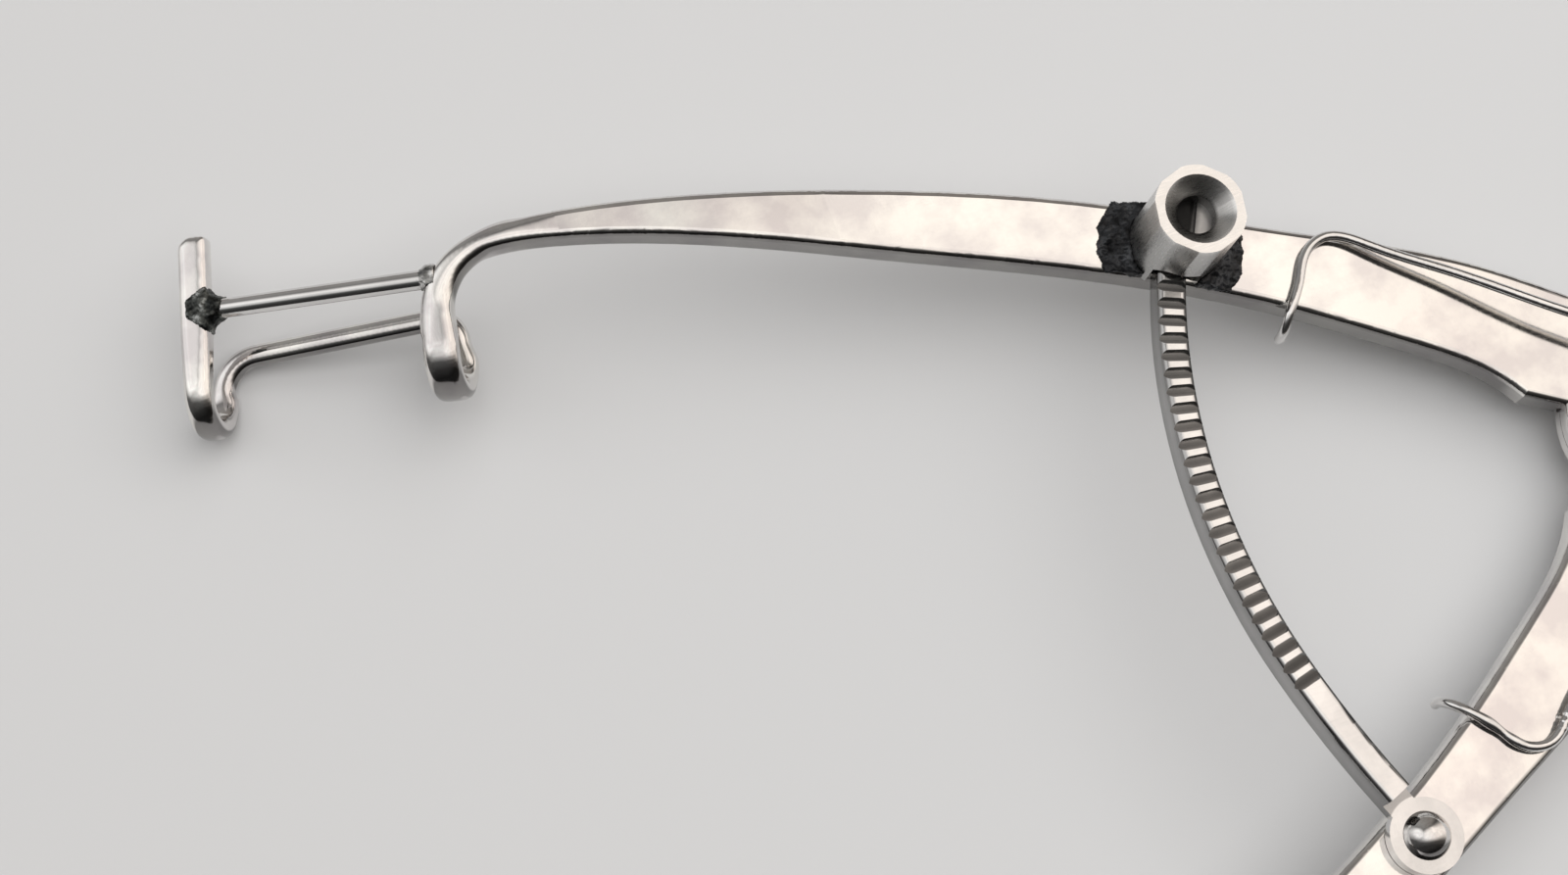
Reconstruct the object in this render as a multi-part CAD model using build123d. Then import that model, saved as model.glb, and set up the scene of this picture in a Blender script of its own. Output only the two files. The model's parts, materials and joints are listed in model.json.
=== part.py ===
from build123d import *
import math
import os

# Eye speculum, all sizes in millimetres.
# The arm frame has its origin on the hinge axis, level with the top faces of the arms.
# X points from the lid blades to the hinge, Y points to the upper arm, Z points up.

# Arm strip
arm_thickness = 2.0
edge_rounding = 0.45
lap_gap = 0.04
boss_radius = 4.9
boss_clearance = 0.15
pivot_hole_radius = 1.24
outer_edge = [(-1.27, 8.57), (-6.28, 12.24), (-11.6, 15.16), (-17.56, 18.0), (-27.19, 22.59),
              (-37.55, 26.47), (-47.4, 29.38), (-55.0, 31.28), (-59.6, 32.0), (-61.9, 31.97),
              (-63.6, 31.42), (-64.7, 30.55), (-65.28, 29.31)]
inner_edge = [(-64.14, 28.97), (-63.55, 30.1), (-62.6, 30.65), (-61.0, 30.8), (-57.69, 30.13),
              (-48.35, 26.75), (-40.02, 23.23), (-29.4, 18.73), (-18.43, 13.01), (-11.9, 8.64),
              (-8.0, 5.55), (-6.5, 3.55)]
outer_start_heading = -38.5
crotch_end = (-2.9, 1.43)

# Arch of the arms, seen from the side
arch_start = -42.1
arch_radius = 70.2
arch_angle = 18.43

# Lid blade: near hook, low rail and far hook
near_place = (-64.42, 30.1)
blade_length = 14.45
blade_turn = 16.7
near_bar_width = 1.25
near_bar_height = 1.9
near_bar_start = -0.9
far_bar_width = 1.65
far_bar_height = 1.35
far_bar_free_length = 4.4
far_bar_corner = 0.7
near_hook_reach = 3.55
far_hook_reach = 4.35
hook_radius = 2.2
near_hook_width = 2.05
far_hook_width = 1.65
tube_width = 1.25
tube_height = 1.15
near_rail_bend = 1.6
far_rail_bend = 2.2
rail_inward = 1.85
rail_skew = 5.0
tube_corner = 0.5
brace_diameter = 1.15
brace_drop = 0.05
brace_skew = 1.6
solder_far_spread = 1.5
solder_far_length = 1.3
solder_far_left = -0.45
solder_far_left_spread = 0.9
solder_near_spread = 0.85
solder_near_length = 0.9
solder_proud = 0.1
solder_depth = 1.3

# Guide post with its detent
post_place = (-23.6, 18.32)
post_height = 6.2
post_diameter = 5.35
post_across_flats = 5.14
post_flat_turn = 19.0
cup_diameter = 4.18
bore_diameter = 2.3
bore_bottom = 2.2
slot_width = 3.0
slot_turn = 24.0
slot_arch_radius = 2.2
slot_arch_crown = 2.45
plunger_diameter = 2.18
plunger_tip_radius = 0.3
plunger_tip_bottom = 1.98
plunger_top = 3.05
detent_spring_top = 3.85
detent_wire = 0.25
screw_height = 0.6
screw_slot = 0.3
solder_skirt_radius = 4.6
solder_skirt_top_radius = 2.3
solder_skirt_height = 0.9

# Ratchet bar
bar_width = 1.72
bar_rounding = 0.4
bar_bottom = 0.15
bar_top = 1.95
bar_in_slot = (-23.85, 18.45)
bar_middle = (-28.0, 1.6)
bar_joint = (-27.0, -7.1)
bar_low = (-24.35, -15.6)
bar_past_post = 2.2
notch_pitch = 1.05
notch_depth = 0.36
notch_width = 0.74
notch_count = 27
rivet_place = (-23.4, -18.2)
eyelet_radius = 2.15
eyelet_bottom = 0.05
eyelet_top = 0.85
rivet_head_diameter = 2.75
rivet_head_height = 1.1
rivet_shaft_diameter = 1.5
running_gap = 0.04

# Hinge pieces
pivot_shaft_diameter = 2.4
collar_clearance = 0.5
collar_height = 2.6
screw_head_diameter = 2 * boss_radius - 3.4
screw_head_height = 1.6
driver_slot = 0.8
nut_diameter = 2 * boss_radius - 3.8
nut_rim = 0.5
nut_dome_height = 1.2

# Torsion spring
wire_diameter = 0.6
coil_radius = 3.5
collar_diameter = 2 * coil_radius - wire_diameter - 2 * collar_clearance
coil_leave_angle = 49.6
coil_whole_turns = 2
coil_top = 2.0
coil_low = 0.36
upper_leg = [(-18.9, 11.5, -1.4), (-18.85, 11.65, -0.5), (-18.35, 12.45, 0.25), (-17.05, 14.1, 0.32),
             (-15.9, 15.65, 0.32), (-14.6, 16.15, 0.4), (-12.1, 14.7, 0.65), (-8.4, 11.72, 1.2),
             (-3.4, 7.47, 1.9)]
lower_leg = [(-3.4, -7.47, 0.4), (-8.4, -11.5, 0.5), (-12.5, -14.6, 0.5), (-14.1, -15.75, 0.35),
             (-15.5, -15.5, 0.32), (-16.7, -14.1, 0.32), (-18.0, -12.5, 0.25),
             (-18.75, -11.6, -0.5), (-18.85, -11.45, -1.5)]


def cylinder(place, radius, bottom, top):
    x, y = place
    return Pos(x, y, (bottom + top) / 2) * Cylinder(radius, top - bottom)


def dome(place, radius, bottom, height):
    # Cap of a sphere, flat side down at the given height.
    x, y = place
    ball = (radius * radius + height * height) / (2 * height)
    cap = Pos(x, y, bottom + height - ball) * Sphere(ball)
    return cap & cylinder(place, radius + 1.0, bottom, bottom + height + 1.0)


def arc_to_boss():
    # Arc that carries the outer edge round to touch the boss.
    x, y = outer_edge[0]
    turn = math.radians(outer_start_heading)
    nx, ny = math.sin(turn), -math.cos(turn)
    away = x * x + y * y - boss_radius * boss_radius
    radius = away / (-2 * (x * nx + y * ny + boss_radius))
    cx, cy = x + radius * nx, y + radius * ny
    far = math.hypot(cx, cy)
    touch = (-cx / far * boss_radius, -cy / far * boss_radius)
    mid = ((x + touch[0]) / 2 - cx, (y + touch[1]) / 2 - cy)
    reach = math.hypot(*mid)
    return touch, (cx + mid[0] / reach * radius, cy + mid[1] / reach * radius)


def side_band():
    # Side view of the strip: flat, then arched down, then straight to beyond the tip.
    turn = math.radians(arch_angle)
    arch_end = arch_start - arch_radius * math.sin(turn)
    neck = (arch_end - outer_edge[-1][0] + boss_radius) / math.cos(turn)

    def on_arch(angle, depth):
        r = arch_radius - depth
        return (arch_start - r * math.sin(angle), -arch_radius + r * math.cos(angle))

    def past_arch(depth):
        x, z = on_arch(turn, depth)
        return (x - neck * math.cos(turn), z - neck * math.sin(turn))

    t = arm_thickness
    back_end = 4 * boss_radius
    top = Line((back_end, 0), (arch_start, 0))
    arch_top = ThreePointArc((arch_start, 0), on_arch(turn / 2, 0), on_arch(turn, 0))
    neck_top = Line(on_arch(turn, 0), past_arch(0))
    tip = Line(past_arch(0), past_arch(t))
    neck_low = Line(past_arch(t), on_arch(turn, t))
    arch_low = ThreePointArc(on_arch(turn, t), on_arch(turn / 2, t), (arch_start, -t))
    low = Line((arch_start, -t), (back_end, -t))
    back = Line((back_end, -t), (back_end, 0))
    face = make_face([top, arch_top, neck_top, tip, neck_low, arch_low, low, back])
    half_width = max(y for x, y in outer_edge) + boss_radius
    return extrude(Plane.XZ * face, half_width, both=True)


def strip_outline():
    touch, middle = arc_to_boss()
    heading = math.radians(outer_start_heading + 180)
    cross = math.radians(270 - blade_turn)
    start_way = (math.cos(heading), math.sin(heading))
    cross_way = (math.cos(cross), math.sin(cross))
    round_boss = ThreePointArc(touch, middle, outer_edge[0])
    outer = Spline(outer_edge, tangents=[start_way, cross_way])
    end = Line(outer_edge[-1], inner_edge[0])
    inner = Spline(inner_edge)
    crotch = Line(inner_edge[-1], crotch_end)
    close_a = Line(crotch_end, (0, 0))
    close_b = Line((0, 0), touch)
    return make_face([round_boss, outer, end, inner, crotch, close_a, close_b])


def blade_frame():
    # The blade lies in the plane of the strip's top face at the neck, past the end of the arch.
    turn = math.radians(blade_turn)
    slope = math.radians(arch_angle)
    x, y = near_place
    arch_end = arch_start - arch_radius * math.sin(slope)
    height = -arch_radius * (1 - math.cos(slope)) + (x - arch_end) * math.tan(slope)
    along = Vector(math.cos(turn), -math.sin(turn), math.cos(turn) * math.tan(slope))
    normal = (-math.sin(slope), 0, math.cos(slope))
    return Plane(origin=(x, y, height), x_dir=along, z_dir=normal)


def section(y, top, width, height, corner):
    # Cross-section of a hook bar, square to the blade's Y direction.
    place = Plane(origin=(0, y, top - height / 2), x_dir=(1, 0, 0), z_dir=(0, 1, 0))
    return place * RectangleRounded(width, height, corner)


def hook(reach, bend, side, start, width):
    # Half circle under the bar, then the bend into the rail. The side is +1 for the far hook.
    middle = -tube_height / 2
    top = section(-reach, 0, width, tube_height, tube_corner)
    curl_axis = Axis((0, -reach, middle - hook_radius), (1, 0, 0))
    curl = revolve(top, curl_axis, 180)
    low_top = -2 * hook_radius
    low = section(-reach, low_top, width, tube_height, tube_corner)
    low_end = section(start, low_top, tube_width, tube_height, tube_corner)
    straight = loft([low, low_end])
    bend_axis = Axis((side * bend, start, 0), (0, 0, -side))
    turn = revolve(low_end, bend_axis, 90 - side * rail_skew)
    return curl + straight + turn


def blade():
    # Far hook, rail and near hook in the blade's own frame.
    far = -blade_length
    skew = math.radians(rail_skew)
    far_end_x = far + far_rail_bend * (1 - math.sin(skew))
    far_end_y = -rail_inward
    near_end_x = -near_rail_bend * (1 + math.sin(skew))
    near_end_y = far_end_y + (near_end_x - far_end_x) * math.tan(skew)
    far_start = far_end_y - far_rail_bend * math.cos(skew)
    near_start = near_end_y - near_rail_bend * math.cos(skew)
    near_bar = loft([section(near_bar_start, -0.06, near_bar_width, near_bar_height, 0.25),
                     section(-near_hook_reach, 0, near_hook_width, tube_height, tube_corner)])
    near = near_bar + hook(near_hook_reach, near_rail_bend, -1, near_start, near_hook_width)
    bar_top_end = section(far_bar_free_length, 0, far_bar_width, far_bar_height, 0.22)
    bar = extrude(bar_top_end, -far_bar_free_length - 1.6, dir=(0, 1, 0))
    corner = Pos(-far_bar_width / 2, far_bar_free_length, -far_bar_height / 2)
    bar = bar - corner * Rot(0, 0, 45) * Box(far_bar_corner, far_bar_corner, 3)
    taper = loft([section(-1.6, 0, far_bar_width, far_bar_height, 0.22),
                  section(-far_hook_reach, 0, far_hook_width, tube_height, tube_corner)])
    curl = hook(far_hook_reach, far_rail_bend, 1, far_start, far_hook_width)
    far_hook = Pos(far, 0, 0) * (bar + taper + curl)
    rail_way = (math.cos(skew), math.sin(skew), 0)
    rail_start = Plane(origin=(far_end_x, far_end_y, -2 * hook_radius - tube_height / 2),
                       x_dir=(-rail_way[1], rail_way[0], 0), z_dir=rail_way)
    rail = extrude(rail_start * RectangleRounded(tube_width, tube_height, tube_corner),
                   (near_end_x - far_end_x) / math.cos(skew))
    return near + far_hook + rail


def trumpet(left, left_spread, bar_side, spread, length):
    # Solder that widens from the wire to the bar in a hollow curve and narrows over the bar.
    wire = brace_diameter / 2
    end = bar_side + length
    hollow = ThreePointArc((bar_side, spread), (bar_side + 0.3 * length, wire + 0.3 * (spread - wire)),
                           (end, wire))
    over = Line((left, left_spread), (bar_side, spread))
    sides = [Line((left, 0), (left, left_spread)), over, hollow, Line((end, wire), (end, 0)),
             Line((end, 0), (left, 0))]
    return revolve(Plane.XZ * make_face(sides), Axis.X, 360)


def brace_pieces():
    # Straight wire between the hooks with solder run round both of its ends.
    drop = -brace_diameter / 2 - brace_drop
    wire = Pos(-blade_length / 2, 0, drop) * Rot(0, 90, 0) * Cylinder(brace_diameter / 2, blade_length)
    half = far_bar_width / 2
    far_flow = trumpet(solder_far_left, solder_far_left_spread, half, solder_far_spread,
                       solder_far_length)
    slab = Pos(0, 0, (solder_proud - solder_depth) / 2) * Box(9, 9, solder_proud + solder_depth)
    far_solder = Pos(-blade_length, 0, drop) * far_flow & Pos(-blade_length, 0, 0) * slab
    near_flow = trumpet(0, solder_near_spread, near_bar_width / 2, solder_near_spread, solder_near_length)
    near_solder = Pos(0, 0, drop) * Rot(0, 0, 180) * near_flow & slab
    skew = Pos(-blade_length, 0, 0) * Rot(0, 0, brace_skew) * Pos(blade_length, 0, 0)
    return [skew * piece for piece in (wire, near_solder, far_solder)]


def arm_side():
    outline = strip_outline()
    depth = 4 * boss_radius
    strip = extrude(Plane.XY.offset(-depth) * outline, depth + arm_thickness) & side_band()
    boss = cylinder((0, 0), boss_radius, -arm_thickness, 0)
    body = strip + boss
    tip_end = outer_edge[-1][0] + 1.3

    def is_long_edge(edge):
        upright = abs((edge % 0.5).Z) > 0.75
        across_tip = edge.length < 1.6 and edge.center().X < tip_end
        return not upright and not across_tip

    body = fillet(body.edges().filter_by(is_long_edge), edge_rounding)
    frame = blade_frame().location
    arm = body + frame * blade()
    wire, near_solder, far_solder = [frame * piece for piece in brace_pieces()]
    wire = wire - arm
    near_solder = near_solder - arm - wire
    far_solder = far_solder - arm - wire
    return arm, wire, near_solder, far_solder


def bar_path():
    # Centre line of the ratchet bar from beyond the post to the eyelet.
    main = ThreePointArc(bar_in_slot, bar_middle, bar_joint)
    lead = main % 0
    start = (bar_in_slot[0] - lead.X * bar_past_post, bar_in_slot[1] - lead.Y * bar_past_post)
    tip = Line(start, bar_in_slot)
    tail = TangentArc(main @ 1, bar_low, tangent=main % 1)
    return tip, main, tail


def ratchet():
    tip, main, tail = bar_path()
    outline = trace([tip, main, tail], line_width=bar_width)
    bar = extrude(Plane.XY.offset(bar_bottom) * outline, bar_top - bar_bottom)
    rim = bar.faces().sort_by(Axis.Z)[-1].edges()
    bar = fillet(rim.filter_by(lambda edge: edge.length > 1.1 * bar_width), bar_rounding)
    ends = tail @ 1
    length = math.hypot(ends.X - rivet_place[0], ends.Y - rivet_place[1])
    way = math.degrees(math.atan2(ends.Y - rivet_place[1], ends.X - rivet_place[0]))
    foot = Pos(*rivet_place, 0) * Rot(0, 0, way) * Pos(length / 2, 0, (bar_bottom + eyelet_top) / 2)
    bar += foot * Box(length + 0.5, bar_width, eyelet_top - bar_bottom)
    bar += cylinder(rivet_place, eyelet_radius, eyelet_bottom, eyelet_top)
    bar -= cylinder(rivet_place, rivet_head_diameter / 2 + 0.15, eyelet_top, bar_top + 1)
    bar -= cylinder(rivet_place, rivet_shaft_diameter / 2 + running_gap, -1, 3)
    for i in range(notch_count):
        share = i * notch_pitch / main.length
        if share <= 1:
            at, way = main @ share, main % share
        else:
            more = (i * notch_pitch - main.length) / tail.length
            at, way = tail @ more, tail % more
        turn = math.degrees(math.atan2(way.Y, way.X))
        wedge = Polyline((-notch_width / 2, 0.02), (notch_width / 2, 0.02), (0, -notch_depth), close=True)
        cut = extrude(Plane.XZ * make_face(wedge), bar_width, both=True)
        bar -= Pos(at.X, at.Y, bar_top) * Rot(0, 0, turn) * cut
    return bar


def guide_post():
    x, y = post_place
    stock = extrude(RegularPolygon(post_across_flats / 2 / math.cos(math.pi / 6), 6), post_height)
    stock = Rot(0, 0, post_flat_turn) * stock
    post = stock & Pos(0, 0, post_height / 2) * Cylinder(post_diameter / 2, post_height)
    cup_depth = (cup_diameter - bore_diameter) / 2
    cup = Pos(0, 0, post_height - cup_depth / 2) * Cone(bore_diameter / 2, cup_diameter / 2, cup_depth)
    post -= cup
    post -= Pos(0, 0, 5) * Cylinder(bore_diameter / 2, 2 * (5 - bore_bottom))
    arch = Pos(0, 0, slot_arch_crown - slot_arch_radius) * Rot(90, 0, 0) * Cylinder(slot_arch_radius, 12)
    arch &= Pos(0, 0, 1.5) * Box(slot_width, 12, 3)
    slot = arch + Pos(0, 0, 0.7) * Box(slot_width, 12, 1.6)
    return Pos(x, y, 0) * (post - Rot(0, 0, -slot_turn) * slot)


def post_solder():
    # Burnt solder runs out over the arm face on both sides of the slot.
    x, y = post_place
    cone = Cone(solder_skirt_radius, solder_skirt_top_radius, solder_skirt_height)
    cone = Pos(x, y, solder_skirt_height / 2) * cone
    face = extrude(strip_outline(), 3)
    skirt = cone & face
    skirt -= Pos(x, y, 0) * Rot(0, 0, -slot_turn) * Box(slot_width, 14, 9)
    skirt -= guide_post()
    pieces = skirt.solids().sort_by(Axis.X)
    return pieces[0], pieces[-1]


def detent_pieces():
    x, y = post_place
    body = cylinder(post_place, plunger_diameter / 2, 2.75, plunger_top)
    nose = Pos(x, y, 2.4) * Cone(plunger_tip_radius, plunger_diameter / 2, 0.7)
    ball_low = plunger_tip_bottom + plunger_tip_radius
    nose &= cylinder(post_place, 3, ball_low - 0.22, 2.75)
    tip = Pos(x, y, ball_low) * Sphere(plunger_tip_radius)
    plunger = body + nose + tip
    rise = detent_spring_top - plunger_top - detent_wire
    low = plunger_top + detent_wire / 2
    coil = Helix(pitch=rise / 2, height=rise, radius=0.75)
    ring = Plane(origin=coil @ 0, z_dir=coil % 0) * Circle(detent_wire / 2)
    spring = Pos(x, y, low) * sweep(ring, path=coil, is_frenet=True)
    screw = cylinder(post_place, bore_diameter / 2, detent_spring_top, detent_spring_top + screw_height)
    groove = Pos(x, y, detent_spring_top + screw_height) * Rot(0, 0, 62) * Box(4, 0.4, 2 * screw_slot)
    return plunger, spring, screw - groove


def hinge_pieces():
    centre = (0, 0)
    shaft = pivot_shaft_diameter / 2
    head_bottom = collar_height
    screw = cylinder(centre, shaft, -arm_thickness - nut_rim - 0.3, head_bottom)
    screw += dome(centre, screw_head_diameter / 2, head_bottom, screw_head_height)
    screw -= Pos(0, 0, head_bottom + screw_head_height) * Rot(0, 0, 35) * Box(9, driver_slot, 1.3)
    collar = cylinder(centre, collar_diameter / 2, 0, collar_height)
    collar -= cylinder(centre, shaft + 0.03, -1, collar_height + 1)
    top = -arm_thickness - running_gap
    nut = cylinder(centre, nut_diameter / 2, top - nut_rim, top)
    nut += Rot(180, 0, 0) * dome(centre, nut_diameter / 2, -(top - nut_rim), nut_dome_height)
    nut -= screw
    return screw, collar, nut


def torsion_spring():
    sweep_angle = 2 * coil_leave_angle + 360 * coil_whole_turns
    steps = 8 * coil_whole_turns + 4
    points = list(upper_leg)
    for i in range(steps + 1):
        share = i / steps
        angle = math.radians(coil_leave_angle - share * sweep_angle)
        height = coil_top + (coil_low - coil_top) * share
        points.append((coil_radius * math.cos(angle), coil_radius * math.sin(angle), height))
    points += lower_leg
    path = Spline(points)
    ring = Plane(origin=path @ 0, z_dir=path % 0) * Circle(wire_diameter / 2)
    return sweep(ring, path=path)


def build():
    arm, wire, near_solder, far_solder = arm_side()
    middle = -arm_thickness / 2
    around = boss_radius + boss_clearance
    hole = cylinder((0, 0), pivot_hole_radius, -9, 9)
    rivet_hole = cylinder(rivet_place, rivet_shaft_diameter / 2, -9, 9)
    flip = Plane.XZ
    upper_arm = arm - cylinder((0, 0), around, -9, middle + lap_gap / 2) - hole
    lower_arm = mirror(arm, flip) - cylinder((0, 0), around, middle - lap_gap / 2, 9) - hole - rivet_hole
    rivet = cylinder(rivet_place, rivet_shaft_diameter / 2, -arm_thickness, eyelet_top + running_gap)
    rivet += dome(rivet_place, rivet_head_diameter / 2, eyelet_top + running_gap, rivet_head_height)
    plunger, detent_spring, screw = detent_pieces()
    solder_left, solder_right = post_solder()
    pivot_screw, collar, nut = hinge_pieces()
    return {
        "upper_arm": upper_arm,
        "upper_brace_wire": wire,
        "upper_brace_solder_near": near_solder,
        "upper_brace_solder_far": far_solder,
        "lower_arm": lower_arm,
        "lower_brace_wire": mirror(wire, flip),
        "lower_brace_solder_near": mirror(near_solder, flip),
        "lower_brace_solder_far": mirror(far_solder, flip),
        "guide_post": guide_post(),
        "post_solder_left": solder_left,
        "post_solder_right": solder_right,
        "detent_plunger": plunger,
        "detent_spring": detent_spring,
        "detent_screw": screw,
        "ratchet_bar": ratchet(),
        "ratchet_rivet": rivet,
        "pivot_screw": pivot_screw,
        "spring_collar": collar,
        "pivot_nut": nut,
        "torsion_spring": torsion_spring(),
    }


def lowest(piece, pitch):
    return (Rot(0, pitch, 0) * piece).bounding_box().min.Z


def resting_pitch(nodes):
    # Tilt at which the low hooks and the domed nut stand on one table.
    low, high = 0.0, 15.0
    for _ in range(12):
        pitch = (low + high) / 2
        if lowest(nodes["upper_arm"], pitch) < lowest(nodes["pivot_nut"], pitch):
            low = pitch
        else:
            high = pitch
    return (low + high) / 2


nodes = build()
pitch = resting_pitch(nodes)
standing = {name: Rot(0, pitch, 0) * piece for name, piece in nodes.items()}
box = Compound(children=[Compound(piece.solids()) for piece in standing.values()]).bounding_box()
shift = Pos(-box.center().X, -box.center().Y, -box.min.Z)
print("pitch", round(pitch, 4), "shift", [round(v, 4) for v in shift.position])
print("size", [round(v, 3) for v in box.size])

os.makedirs("parts", exist_ok=True)
for name, piece in standing.items():
    placed = shift * piece
    print(name, len(placed.solids()), round(placed.volume, 3), placed.is_valid)
    export_step(placed, "parts/" + name + ".step")
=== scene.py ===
import json
import math
import bmesh
import bpy
from mathutils import Euler, Matrix, Vector
from mathutils.noise import fractal


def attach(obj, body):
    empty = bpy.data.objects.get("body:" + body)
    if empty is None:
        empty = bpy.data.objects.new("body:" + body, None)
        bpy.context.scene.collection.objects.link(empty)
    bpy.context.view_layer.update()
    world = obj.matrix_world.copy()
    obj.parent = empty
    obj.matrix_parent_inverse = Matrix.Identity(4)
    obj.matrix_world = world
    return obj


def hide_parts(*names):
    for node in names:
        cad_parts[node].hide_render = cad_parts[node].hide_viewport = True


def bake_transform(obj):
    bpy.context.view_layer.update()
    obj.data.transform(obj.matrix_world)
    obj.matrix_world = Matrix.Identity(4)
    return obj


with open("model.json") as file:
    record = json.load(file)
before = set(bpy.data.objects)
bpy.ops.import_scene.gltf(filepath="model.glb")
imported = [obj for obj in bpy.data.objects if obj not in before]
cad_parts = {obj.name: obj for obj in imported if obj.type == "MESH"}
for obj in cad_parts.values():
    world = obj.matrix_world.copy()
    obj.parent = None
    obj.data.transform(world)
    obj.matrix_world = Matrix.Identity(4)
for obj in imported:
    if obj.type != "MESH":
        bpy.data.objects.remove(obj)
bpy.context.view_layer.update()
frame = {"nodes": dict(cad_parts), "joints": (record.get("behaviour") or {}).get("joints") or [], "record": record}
nodes = frame["nodes"]
MM = 0.001

# The arm frame of the object: origin on the hinge axis, Z square to the arms' top faces.
hinge = next(j for j in frame["joints"] if j["name"] == "arm_hinge")
ARM_UP = -Vector(hinge["axis"]).normalized()
PITCH = math.atan2(ARM_UP.x, ARM_UP.z)
ARM = Matrix.Translation(Vector(hinge["pos_m"])) @ Matrix.Rotation(PITCH, 4, "Y")
TO_ARM = Matrix.Scale(1 / MM, 4) @ ARM.inverted()

# Places and sizes of the solids, in millimetres in the arm frame
POST_PLACE = (-23.6, 18.32)
POST_HEIGHT = 6.2
CUP_RADIUS = 2.09
BORE_RADIUS = 1.15
RIVET_PLACE = (-23.4, -18.2)
EYELET_REACH = 3.0
BAR_TOP = 1.95

# The camera that took the photograph: pixels, and millimetres and degrees in the arm frame
IMAGE_WIDTH = 1600
FOCAL_PIXELS = 2850.0
CAMERA_PLACE = Vector((-86.63, -22.15, 146.78))
CAMERA_DEGREES = (17.626, -8.633, -20.304)
CAMERA_TURN = Euler([math.radians(a) for a in CAMERA_DEGREES], "XYZ").to_matrix()


def arm_point(x, y, z):
    """A point given in millimetres in the arm frame."""
    return ARM @ Vector((x * MM, y * MM, z * MM))


# Materials: noise scales are in waves per metre

TINT_SCALE = 320.0
TINT_EDGES = (0.38, 0.62)
SWELL_SCALE = 140.0
LONG_SCRATCH_SCALE = 1500.0
LONG_SCRATCH_STRETCH = (1, 9, 1)
LONG_SCRATCH_TURN = math.radians(24)
CROSS_SCRATCH_SCALE = 2100.0
CROSS_SCRATCH_STRETCH = (7, 1, 1)
CROSS_SCRATCH_TURN = math.radians(-35)
SOLDER_SCALE = 900.0
SOLDER_GRAIN = 0.6


def new_material(name):
    material = bpy.data.materials.new(name)
    material.use_nodes = True
    tree = material.node_tree
    shader = tree.nodes["Principled BSDF"]
    return material, tree, shader


def link(tree, source, target):
    tree.links.new(source, target)


def coordinates(tree, scale=(1, 1, 1), turn=0.0):
    """The place on the object, stretched and turned about Z."""
    place = tree.nodes.new("ShaderNodeTexCoord")
    mapping = tree.nodes.new("ShaderNodeMapping")
    mapping.inputs["Scale"].default_value = scale
    mapping.inputs["Rotation"].default_value = (0, 0, turn)
    link(tree, place.outputs["Object"], mapping.inputs["Vector"])
    return mapping.outputs["Vector"]


def noise(tree, vector, scale, detail=4.0, roughness=0.55):
    node = tree.nodes.new("ShaderNodeTexNoise")
    node.inputs["Scale"].default_value = scale
    node.inputs["Detail"].default_value = detail
    node.inputs["Roughness"].default_value = roughness
    link(tree, vector, node.inputs["Vector"])
    return node.outputs["Fac"]


def ramp(tree, value, stops):
    node = tree.nodes.new("ShaderNodeValToRGB")
    points = node.color_ramp.elements
    while len(points) < len(stops):
        points.new(0.5)
    for index, (place, colour) in enumerate(stops):
        points[index].position = place
        points[index].color = (*colour, 1.0)
    link(tree, value, node.inputs["Fac"])
    return node.outputs["Color"]


def grey_ramp(tree, value, stops):
    return ramp(tree, value, [(place, (level,) * 3) for place, level in stops])


def brighter(tree, first, second):
    """The brighter of two values."""
    node = tree.nodes.new("ShaderNodeMath")
    node.operation = "MAXIMUM"
    link(tree, first, node.inputs[0])
    link(tree, second, node.inputs[1])
    return node.outputs["Value"]


def vector_node(tree, operation, source, constant=None):
    """A vector operation on a linked value and, where one is given, a constant."""
    node = tree.nodes.new("ShaderNodeVectorMath")
    node.operation = operation
    link(tree, source, node.inputs[0])
    if constant is not None:
        node.inputs[1].default_value = constant
    return node


def object_place(tree):
    return tree.nodes.new("ShaderNodeTexCoord").outputs["Object"]


def spread(tree, value, low, high, from_low=0.3, from_high=0.7):
    node = tree.nodes.new("ShaderNodeMapRange")
    node.inputs["From Min"].default_value = from_low
    node.inputs["From Max"].default_value = from_high
    node.inputs["To Min"].default_value = low
    node.inputs["To Max"].default_value = high
    link(tree, value, node.inputs["Value"])
    return node.outputs["Result"]


def bump(tree, shader, height, strength, distance):
    node = tree.nodes.new("ShaderNodeBump")
    node.inputs["Strength"].default_value = strength
    node.inputs["Distance"].default_value = distance
    link(tree, height, node.inputs["Height"])
    link(tree, node.outputs["Normal"], shader.inputs["Normal"])


def steel(name, light, dark, smooth, rough, scratch, waves):
    """Steel: faint cloudy tint, fine scratches in two directions and a slightly uneven face."""
    material, tree, shader = new_material(name)
    shader.inputs["Metallic"].default_value = 1.0
    plain = coordinates(tree)
    tint = noise(tree, plain, TINT_SCALE, detail=5.0)
    link(tree, ramp(tree, tint, list(zip(TINT_EDGES, (dark, light)))), shader.inputs["Base Color"])
    along = coordinates(tree, LONG_SCRATCH_STRETCH, LONG_SCRATCH_TURN)
    long_lines = noise(tree, along, LONG_SCRATCH_SCALE, detail=3.0)
    link(tree, spread(tree, long_lines, smooth, rough), shader.inputs["Roughness"])
    across = coordinates(tree, CROSS_SCRATCH_STRETCH, CROSS_SCRATCH_TURN)
    cross_lines = noise(tree, across, CROSS_SCRATCH_SCALE, detail=2.0)
    swell = noise(tree, plain, SWELL_SCALE, detail=1.0)
    lines = tree.nodes.new("ShaderNodeMath")
    lines.operation = "MULTIPLY_ADD"
    lines.inputs[1].default_value = scratch
    link(tree, cross_lines, lines.inputs[0])
    link(tree, spread(tree, swell, 0.0, waves, from_low=0.2, from_high=0.8), lines.inputs[2])
    bump(tree, shader, lines.outputs["Value"], strength=0.35, distance=0.06 * MM)
    return material


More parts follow.
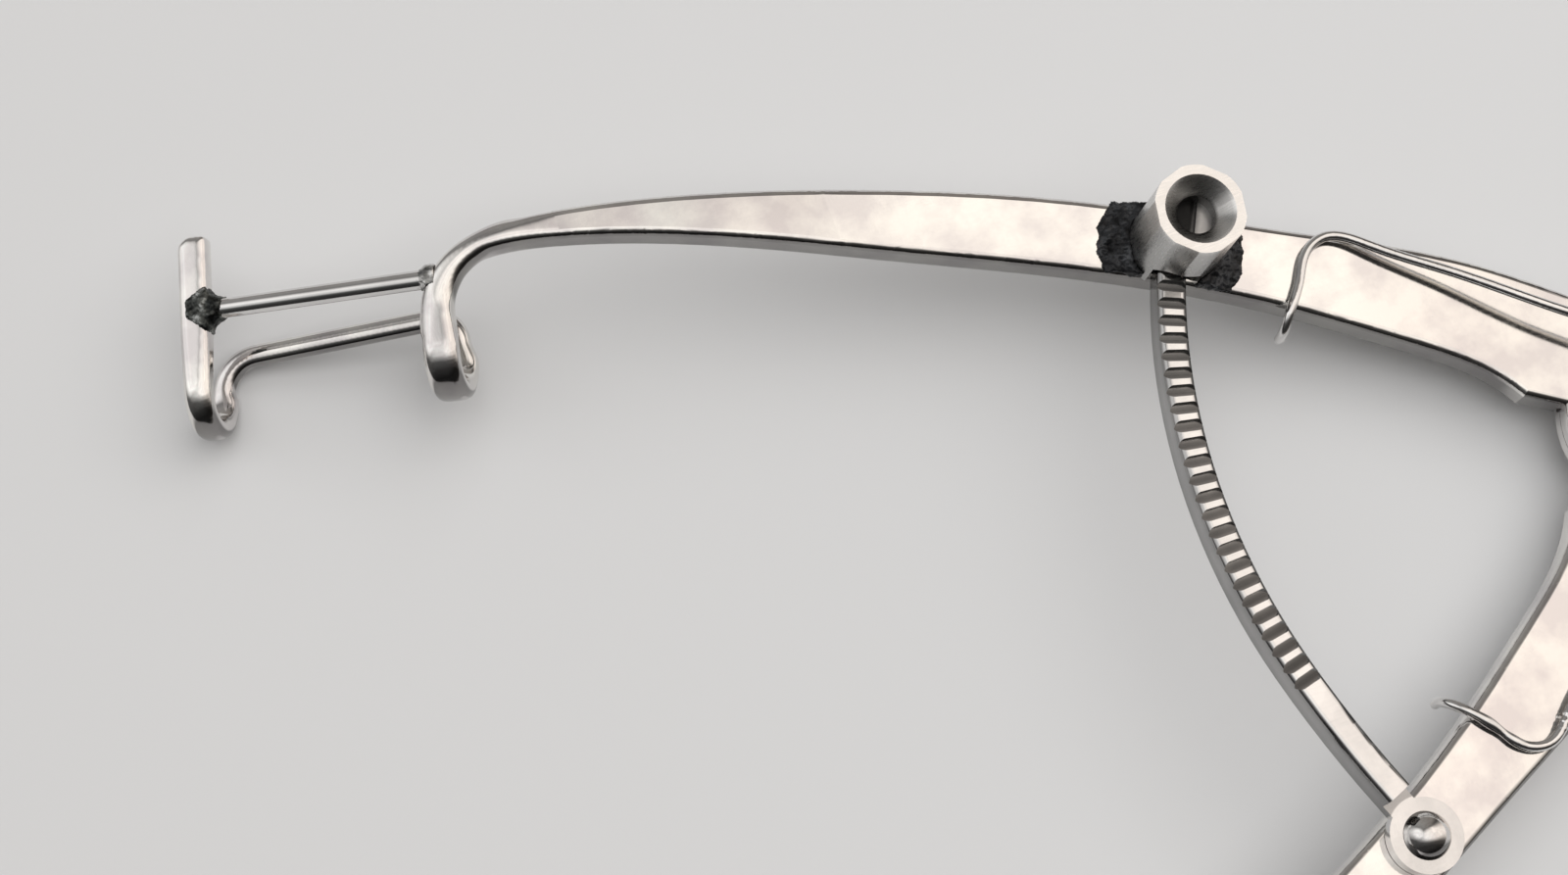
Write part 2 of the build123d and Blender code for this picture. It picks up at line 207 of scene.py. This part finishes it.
def solder(name, stops, roughness, metallic, strength, distance):
    """Heat-stained solder with glassy and black patches; roughness is of its dark and light ones."""
    material, tree, shader = new_material(name)
    patches = noise(tree, coordinates(tree), SOLDER_SCALE, roughness=SOLDER_GRAIN)
    link(tree, ramp(tree, patches, stops), shader.inputs["Base Color"])
    link(tree, spread(tree, patches, *roughness), shader.inputs["Roughness"])
    shader.inputs["Metallic"].default_value = metallic
    bump(tree, shader, patches, strength, distance)
    return material


def paint_shade(material, measure, stops, unshaded_measure=None, unshaded_stops=()):
    """Paint shade into a finished material: darken it by a measure of where the point is, except where the second
    measure keeps it bright.
    """
    tree = material.node_tree
    colour = tree.nodes["Principled BSDF"].inputs["Base Color"]
    shade = grey_ramp(tree, measure(tree), stops)
    if unshaded_measure:
        shade = brighter(tree, shade, grey_ramp(tree, unshaded_measure(tree), unshaded_stops))
    mixed = vector_node(tree, "MULTIPLY", colour.links[0].from_socket)
    link(tree, shade, mixed.inputs[1])
    link(tree, mixed.outputs["Vector"], colour)


def height_measure(top):
    """0 at the arms' top faces and 1 at the given height over them in millimetres."""
    low = ARM_UP.dot(arm_point(0, 0, 0))
    high = ARM_UP.dot(arm_point(0, 0, top))

    def measure(tree):
        along = vector_node(tree, "DOT_PRODUCT", object_place(tree), ARM_UP)
        return spread(tree, along.outputs["Value"], 0.0, 1.0, low, high)

    return measure


def axis_measure(x, y, radius):
    """0 on an axis square to the arms and 1 at the given distance from it in millimetres."""
    foot = arm_point(x, y, 0)

    def measure(tree):
        away = vector_node(tree, "SUBTRACT", object_place(tree), foot)
        square = vector_node(tree, "CROSS_PRODUCT", away.outputs["Vector"], ARM_UP)
        distance = vector_node(tree, "LENGTH", square.outputs["Vector"])
        return spread(tree, distance.outputs["Value"], 0.0, 1.0, 0.0, radius * MM)

    return measure


def facing_measure(way):
    """0 where the face looks away from a direction, 0.5 square to it and 1 along it."""
    wanted = (arm_point(*way) - arm_point(0, 0, 0)).normalized()

    def measure(tree):
        normal = tree.nodes.new("ShaderNodeNewGeometry").outputs["Normal"]
        along = vector_node(tree, "DOT_PRODUCT", normal, wanted)
        return spread(tree, along.outputs["Value"], 0.0, 1.0, -1.0, 1.0)

    return measure


def side_measure(x, y, way, reach):
    """0 on one side of an axis square to the arms and 1 on the other, the given distance away."""
    middle = arm_point(x, y, 0)
    across = (arm_point(x + way[0], y + way[1], 0) - middle).normalized()
    low = across.dot(middle) - reach * MM
    high = across.dot(middle) + reach * MM

    def measure(tree):
        along = vector_node(tree, "DOT_PRODUCT", object_place(tree), across)
        return spread(tree, along.outputs["Value"], 0.0, 1.0, low, high)

    return measure


polished = steel("polished_steel", light=(0.84, 0.825, 0.79), dark=(0.68, 0.655, 0.65),
                 smooth=0.07, rough=0.14, scratch=0.05, waves=0.8)
satin = steel("satin_steel", light=(0.72, 0.715, 0.71), dark=(0.60, 0.595, 0.59),
              smooth=0.14, rough=0.24, scratch=0.1, waves=0.2)
wire_steel = steel("spring_steel", light=(0.78, 0.77, 0.76), dark=(0.7, 0.69, 0.68),
                   smooth=0.08, rough=0.12, scratch=0.02, waves=0.04)
bar_steel = steel("ratchet_steel", light=(0.76, 0.75, 0.74), dark=(0.64, 0.635, 0.63),
                  smooth=0.12, rough=0.22, scratch=0.1, waves=0.2)
post_steel = steel("post_steel", light=(0.9, 0.89, 0.87), dark=(0.84, 0.83, 0.81),
                   smooth=0.24, rough=0.34, scratch=0.04, waves=0.3)
dark_screw = steel("dark_screw", light=(0.7, 0.7, 0.69), dark=(0.5, 0.5, 0.5),
                   smooth=0.3, rough=0.45, scratch=0.1, waves=0.2)
black_solder = solder("burnt_solder", [(0.42, (0.006, 0.006, 0.007)), (0.72, (0.05, 0.053, 0.058))],
                      roughness=(0.45, 0.2), metallic=0.55, strength=0.6, distance=0.2 * MM)
grey_solder = solder("grey_solder", [(0.4, (0.012, 0.013, 0.013)), (0.52, (0.08, 0.085, 0.08)),
                                     (0.64, (0.42, 0.43, 0.42))],
                     roughness=(0.42, 0.2), metallic=0.95, strength=0.4, distance=0.12 * MM)
wire_solder = solder("wire_solder", [(0.36, (0.03, 0.03, 0.03)), (0.5, (0.3, 0.3, 0.29)),
                                     (0.6, (0.68, 0.675, 0.66))],
                     roughness=(0.42, 0.2), metallic=0.95, strength=0.4, distance=0.12 * MM)

# Painted shade: the narrow faces that look towards the lower arm are painted dark, least where they face it
# squarely.
paint_shade(polished, facing_measure((0.1, -1, -0.15)),
      [(0.0, 1.0), (0.68, 1.0), (0.76, 0.3), (0.97, 0.42), (0.995, 0.75)])
# Painted shade: the bar is painted darker below its top edge, apart from its eyelet, and on the side to the hinge.
paint_shade(bar_steel, height_measure(BAR_TOP),
      [(0.0, 0.4), (0.5, 0.52), (0.86, 0.46), (0.97, 0.6), (0.99, 1.0)],
      axis_measure(*RIVET_PLACE, EYELET_REACH), [(0.74, 0.95), (0.8, 0.0)])
paint_shade(bar_steel, facing_measure((0.95, -0.3, 0)), [(0.0, 1.0), (0.62, 1.0), (0.72, 0.3)])
# Painted light and shade: the post is painted brightest on its rim, with painted shade on its sides and in the cup
# and the bore.
paint_shade(post_steel, height_measure(POST_HEIGHT), [(0.0, 0.5), (0.9, 0.66), (0.97, 0.8), (0.985, 1.0)])
paint_shade(post_steel, axis_measure(*POST_PLACE, CUP_RADIUS),
      [(0.0, 0.3), (0.56, 0.3), (0.62, 0.7), (0.96, 0.85), (0.99, 1.0)])
# The screw in the post is lit on one side only.
paint_shade(dark_screw, side_measure(*POST_PLACE, way=(1.0, -0.6), reach=BORE_RADIUS),
      [(0.0, 0.02), (0.5, 0.04), (0.72, 0.75)])

LOOKS = {
    "polished_steel": polished,
    "satin_steel": satin,
    "spring_steel": wire_steel,
    "burnt_solder": black_solder,
    "grey_solder": grey_solder,
}


def dress(node, material):
    if not nodes[node].material_slots:
        nodes[node].data.materials.append(material)
    for place in nodes[node].material_slots:
        place.material = material


slot_of = {s["node"]: s["material_slot"] for s in frame["record"]["subparts"]}
for node in nodes:
    dress(node, LOOKS[slot_of[node]])
dress("ratchet_bar", bar_steel)
dress("guide_post", post_steel)
dress("detent_screw", dark_screw)

# Arms: the neck, hooks and rail of each blade as one smooth rounded bar, in millimetres

BLADE_CUT = -57.0
BLADE_OVERLAP = 2.5
BLADE_HOLD = 3.0
BLADE_CELL = 0.1
BLADE_PASSES = 45
BLADE_SWELL = 0.05
BLADE_UP = Vector((-0.316, 0, 0.949))
WELD_DISTANCE = 0.002
CUT_TOLERANCE = 1e-6
SMOOTH_FACTOR = 0.5
SECTION_ROUNDNESS = 0.8

# The middle line of the neck, from inside the strip round into the near hook
NECK = [(-56.87, 30.99, -2.42), (-59.48, 31.56, -3.05), (-61.79, 31.33, -3.7), (-63.04, 30.8, -4.08),
        (-63.84, 30.13, -4.35), (-64.43, 29.33, -4.5), (-64.86, 28.24, -4.58), (-65.16, 27.19, -4.55)]
NECK_HALF_WIDTH = [0.4, 0.66, 0.75, 0.77, 0.86, 0.93, 0.97, 0.97]
NECK_HALF_HEIGHT = [0.4, 0.7, 0.85, 0.85, 0.85, 0.8, 0.7, 0.62]

RAGGED_SCALE = 1.6
RAGGED_FADE = 0.6
RAGGED_STEP = 2.2
RAGGED_OCTAVES = 4


def between(values, step, parts):
    """A smooth value between listed values, which are numbers or vectors."""
    index = min(step // parts, len(values) - 2)
    t = (step - index * parts) / parts
    before = values[max(index - 1, 0)]
    after = values[min(index + 2, len(values) - 1)]
    a, b = values[index], values[index + 1]
    start_way = (b - before) * 0.5
    end_way = (after - a) * 0.5
    return (a * (2 * t ** 3 - 3 * t ** 2 + 1) + start_way * (t ** 3 - 2 * t ** 2 + t)
            + b * (3 * t ** 2 - 2 * t ** 3) + end_way * (t ** 3 - t ** 2))


def squarish(value):
    """A sine or cosine pushed outwards, which makes an oval section squarer."""
    return math.copysign(abs(value) ** SECTION_ROUNDNESS, value)


def add_bar(work, points, half_widths, half_heights, up, parts=6, around=20):
    """A closed bar of rounded sections through the points."""
    rings = []
    total = (len(points) - 1) * parts
    for step in range(total + 1):
        centre = between(points, step, parts)
        back = between(points, max(step - 1, 0), parts)
        ahead = between(points, min(step + 1, total), parts)
        way = (ahead - back).normalized()
        side = way.cross(up).normalized()
        lift = side.cross(way)
        wide = between(half_widths, step, parts)
        high = between(half_heights, step, parts)
        ring = []
        for corner in range(around):
            angle = 2 * math.pi * corner / around
            across = squarish(math.cos(angle)) * wide
            upward = squarish(math.sin(angle)) * high
            ring.append(work.verts.new(centre + side * across + lift * upward))
        rings.append(ring)
    for first, second in zip(rings, rings[1:]):
        for corner in range(around):
            following = (corner + 1) % around
            work.faces.new((first[corner], first[following], second[following], second[corner]))
    work.faces.new(list(reversed(rings[0])))
    work.faces.new(rings[-1])


def cut_at(work, place, keep_left, fill):
    """Cut a mesh square to X and keep one side of it."""
    geometry = work.verts[:] + work.edges[:] + work.faces[:]
    cut = bmesh.ops.bisect_plane(work, geom=geometry, dist=CUT_TOLERANCE,
                                 plane_co=(place, 0, 0), plane_no=(1, 0, 0),
                                 clear_outer=keep_left, clear_inner=not keep_left)
    if fill:
        rim = [item for item in cut["geom_cut"] if isinstance(item, bmesh.types.BMEdge)]
        bmesh.ops.holes_fill(work, edges=rim, sides=0)


def arm_mesh(node):
    """A node's mesh in millimetres in the arm frame."""
    work = bmesh.new()
    work.from_mesh(nodes[node].data)
    bmesh.ops.transform(work, matrix=TO_ARM, verts=work.verts)
    return work


def evaluated_mesh(piece):
    """A new mesh with the piece's modifiers applied."""
    bpy.context.view_layer.update()
    found = piece.evaluated_get(bpy.context.evaluated_depsgraph_get())
    return bpy.data.meshes.new_from_object(found)


def rounded(work, name, cell, passes, swell, hold_from=None, hold_to=None):
    """Join overlapping closed shapes into one skin and round it, less and less towards a held end."""
    mesh = bpy.data.meshes.new(name)
    work.to_mesh(mesh)
    work.free()
    piece = bpy.data.objects.new(name, mesh)
    bpy.context.scene.collection.objects.link(piece)
    skin = piece.modifiers.new("skin", "REMESH")
    skin.mode = "VOXEL"
    skin.voxel_size = cell
    skin.use_smooth_shade = True
    joined = evaluated_mesh(piece)
    piece.modifiers.remove(skin)
    piece.data = joined
    loose = piece.vertex_groups.new(name="loose")
    for vertex in joined.vertices:
        share = 1.0
        if hold_to is not None:
            share = (hold_to - vertex.co.x) / (hold_to - hold_from)
        loose.add([vertex.index], min(max(share, 0.0), 1.0), "REPLACE")
    soft = piece.modifiers.new("soft", "SMOOTH")
    soft.factor = SMOOTH_FACTOR
    soft.iterations = passes
    soft.vertex_group = "loose"
    grown = piece.modifiers.new("grown", "DISPLACE")
    grown.mid_level = 0.0
    grown.strength = swell
    grown.vertex_group = "loose"
    finished = evaluated_mesh(piece)
    bpy.data.objects.remove(piece)
    return finished


def stand_for(work, node, body, look):
    """A piece made from a mesh in the arm frame, in place of a node."""
    bmesh.ops.transform(work, matrix=TO_ARM.inverted(), verts=work.verts)
    mesh = bpy.data.meshes.new(node + "_shape")
    work.to_mesh(mesh)
    work.free()
    mesh.materials.clear()
    mesh.materials.append(look)
    piece = bpy.data.objects.new(node + "_shape", mesh)
    bpy.context.scene.collection.objects.link(piece)
    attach(piece, body)
    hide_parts(node)


def smooth_arm(node, body, side):
    """The arm with its blade as one rounded bar, in place of the arm's node."""
    blade = arm_mesh(node)
    bmesh.ops.remove_doubles(blade, verts=blade.verts, dist=WELD_DISTANCE)
    cut_at(blade, BLADE_CUT + BLADE_OVERLAP, keep_left=True, fill=True)
    points = [Vector((x, y * side, z)) for x, y, z in NECK]
    add_bar(blade, points, NECK_HALF_WIDTH, NECK_HALF_HEIGHT, BLADE_UP)
    bmesh.ops.recalc_face_normals(blade, faces=blade.faces)
    soft_blade = rounded(blade, node + "_blade", BLADE_CELL, BLADE_PASSES, BLADE_SWELL,
                         BLADE_CUT - BLADE_HOLD, BLADE_CUT)
    blade = bmesh.new()
    blade.from_mesh(soft_blade)
    cut_at(blade, BLADE_CUT, keep_left=True, fill=False)
    blade.to_mesh(soft_blade)
    blade.free()
    strip = arm_mesh(node)
    cut_at(strip, BLADE_CUT, keep_left=False, fill=False)
    strip.from_mesh(soft_blade)
    stand_for(strip, node, body, polished)


def smooth_solder(node, body, look, cell, passes, swell, ragged):
    """Solder with soft edges and an uneven face, in place of the solder's node."""
    work = arm_mesh(node)
    bmesh.ops.remove_doubles(work, verts=work.verts, dist=WELD_DISTANCE)
    soft = rounded(work, node + "_soft", cell, passes, swell)
    work = bmesh.new()
    work.from_mesh(soft)
    work.normal_update()
    ways = [vertex.normal.copy() for vertex in work.verts]
    for vertex, way in zip(work.verts, ways):
        rough = fractal(vertex.co * RAGGED_SCALE, RAGGED_FADE, RAGGED_STEP, RAGGED_OCTAVES)
        vertex.co += way * ragged * rough
    stand_for(work, node, body, look)


smooth_arm("upper_arm", "upper_side", 1)
smooth_arm("lower_arm", "lower_side", -1)
for side in ("upper", "lower"):
    smooth_solder(side + "_brace_solder_far", side + "_side", grey_solder,
                  cell=0.07, passes=45, swell=0.04, ragged=0.1)
    smooth_solder(side + "_brace_solder_near", side + "_side", wire_solder,
                  cell=0.06, passes=30, swell=-0.03, ragged=0.04)
for side in ("left", "right"):
    smooth_solder("post_solder_" + side, "upper_side", black_solder,
                  cell=0.08, passes=12, swell=0.03, ragged=0.16)

# Hinge spring: a copy of the same wire, in place of its node

spring_mesh = nodes["torsion_spring"].data.copy()
hinge_spring = bpy.data.objects.new("hinge_spring", spring_mesh)
bpy.context.scene.collection.objects.link(hinge_spring)
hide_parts("torsion_spring")
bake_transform(hinge_spring)

# Stage: a plain pale floor, soft light and the camera

FLOOR_HALF = 0.6
FLOOR_COLOUR = (0.61, 0.613, 0.616, 1)
FLOOR_ROUGHNESS = 0.85

floor_mesh = bpy.data.meshes.new("floor")
corners = [(-FLOOR_HALF, -FLOOR_HALF, 0), (FLOOR_HALF, -FLOOR_HALF, 0),
           (FLOOR_HALF, FLOOR_HALF, 0), (-FLOOR_HALF, FLOOR_HALF, 0)]
floor_mesh.from_pydata(corners, [], [(0, 1, 2, 3)])
floor = bpy.data.objects.new("floor", floor_mesh)
bpy.context.scene.collection.objects.link(floor)
floor_look, _, floor_shader = new_material("pale_floor")
floor_shader.inputs["Base Color"].default_value = FLOOR_COLOUR
floor_shader.inputs["Roughness"].default_value = FLOOR_ROUGHNESS
floor_mesh.materials.append(floor_look)

# Sky patches: the centre and stretch of an oval of sky directions, and how bright it is at
# each distance from its centre
CEILING = ((0.34, -0.02), (0.6, 1.3),
           [(0.0, 1.0), (0.42, 1.0), (0.48, 0.8), (0.56, 0.6), (0.64, 0.3), (0.75, 0.08), (1.0, 0.03)])
LAMP = ((0.46, 0.16), (1.6, 0.8), [(0.0, 1.15), (0.13, 1.12), (0.2, 1.0), (0.26, 0.0)])
WINDOW = ((-0.6, 0.32), (1.0, 0.8), [(0.0, 1.0), (0.2, 1.0), (0.32, 0.5), (0.45, 0.0)])
BACK_WALL = ((-0.1, 1.0), (0.5, 1.0), [(0.0, 0.26), (0.45, 0.2), (0.7, 0.0)])
SKY_LEVEL = 1.22
CLOUD_SCALE = 6.0
CLOUD_LEVELS = (0.85, 1.1)
BLUSH_SCALE = 8.0
BLUSH_STOPS = [(0.36, (0.95, 0.89, 0.87)), (0.5, (0.98, 0.95, 0.93)), (0.6, (1.0, 1.0, 0.97))]
TINT_STOPS = [(0.0, (0.97, 0.985, 1.0)), (0.5, (1.0, 0.985, 0.965)), (1.0, (1.0, 0.95, 0.9))]
TINT_REACH = 0.5


def sky_patch(tree, way, centre, stretch, stops):
    """Brightness by the distance of a sky direction from the centre of a soft oval patch."""
    away = vector_node(tree, "SUBTRACT", way, (*centre, 0))
    oval = vector_node(tree, "MULTIPLY", away.outputs["Vector"], (*stretch, 0))
    distance = vector_node(tree, "LENGTH", oval.outputs["Vector"])
    return grey_ramp(tree, distance.outputs["Value"], stops)


def studio_sky():
    """A bright oval ceiling light with a lamp, a window on the left and a grey wall behind."""
    sky = bpy.data.worlds.new("studio")
    bpy.context.scene.world = sky
    sky.use_nodes = True
    tree = sky.node_tree
    background = tree.nodes["Background"]
    way = tree.nodes.new("ShaderNodeTexCoord").outputs["Generated"]
    light = sky_patch(tree, way, *CEILING)
    for patch in (LAMP, WINDOW, BACK_WALL):
        light = brighter(tree, light, sky_patch(tree, way, *patch))
    cloud = noise(tree, way, CLOUD_SCALE, detail=3.0)
    levels = [level * SKY_LEVEL for level in CLOUD_LEVELS]
    clouded = tree.nodes.new("ShaderNodeMath")
    clouded.operation = "MULTIPLY"
    link(tree, light, clouded.inputs[0])
    link(tree, spread(tree, cloud, *levels), clouded.inputs[1])
    link(tree, clouded.outputs["Value"], background.inputs["Strength"])
    split = tree.nodes.new("ShaderNodeSeparateXYZ")
    link(tree, way, split.inputs["Vector"])
    left_to_right = spread(tree, split.outputs["X"], 0.0, 1.0, -TINT_REACH, TINT_REACH)
    blush = ramp(tree, noise(tree, way, BLUSH_SCALE), BLUSH_STOPS)
    warm = vector_node(tree, "MULTIPLY", ramp(tree, left_to_right, TINT_STOPS))
    link(tree, blush, warm.inputs[1])
    link(tree, warm.outputs["Vector"], background.inputs["Color"])


studio_sky()
bpy.context.scene.view_settings.view_transform = "Standard"


def softbox(name, place, target, size, power, colour):
    """A soft square light, given in millimetres in the arm frame."""
    light = bpy.data.lights.new(name, "AREA")
    light.shape = "RECTANGLE"
    light.size = size * MM
    light.size_y = size * MM
    light.energy = power
    light.color = colour
    lamp = bpy.data.objects.new(name, light)
    bpy.context.scene.collection.objects.link(lamp)
    lamp.location = arm_point(*place)
    way = arm_point(*target) - lamp.location
    lamp.rotation_euler = way.to_track_quat("-Z", "Y").to_euler()
    return lamp


overhead = softbox("overhead", place=(40, 60, 420), target=(-20, 0, 0), size=640, power=1.72,
                   colour=(0.97, 0.985, 1.0))
overhead.visible_glossy = False

camera_data = bpy.data.cameras.new("camera")
camera = bpy.data.objects.new("camera", camera_data)
bpy.context.scene.collection.objects.link(camera)
camera_data.sensor_width = 36.0
camera_data.lens = FOCAL_PIXELS / IMAGE_WIDTH * camera_data.sensor_width
camera_data.clip_start = 0.005
camera.matrix_world = ARM @ Matrix.Translation(CAMERA_PLACE * MM) @ CAMERA_TURN.to_4x4()
bpy.context.scene.camera = camera

bpy.context.view_layer.update()
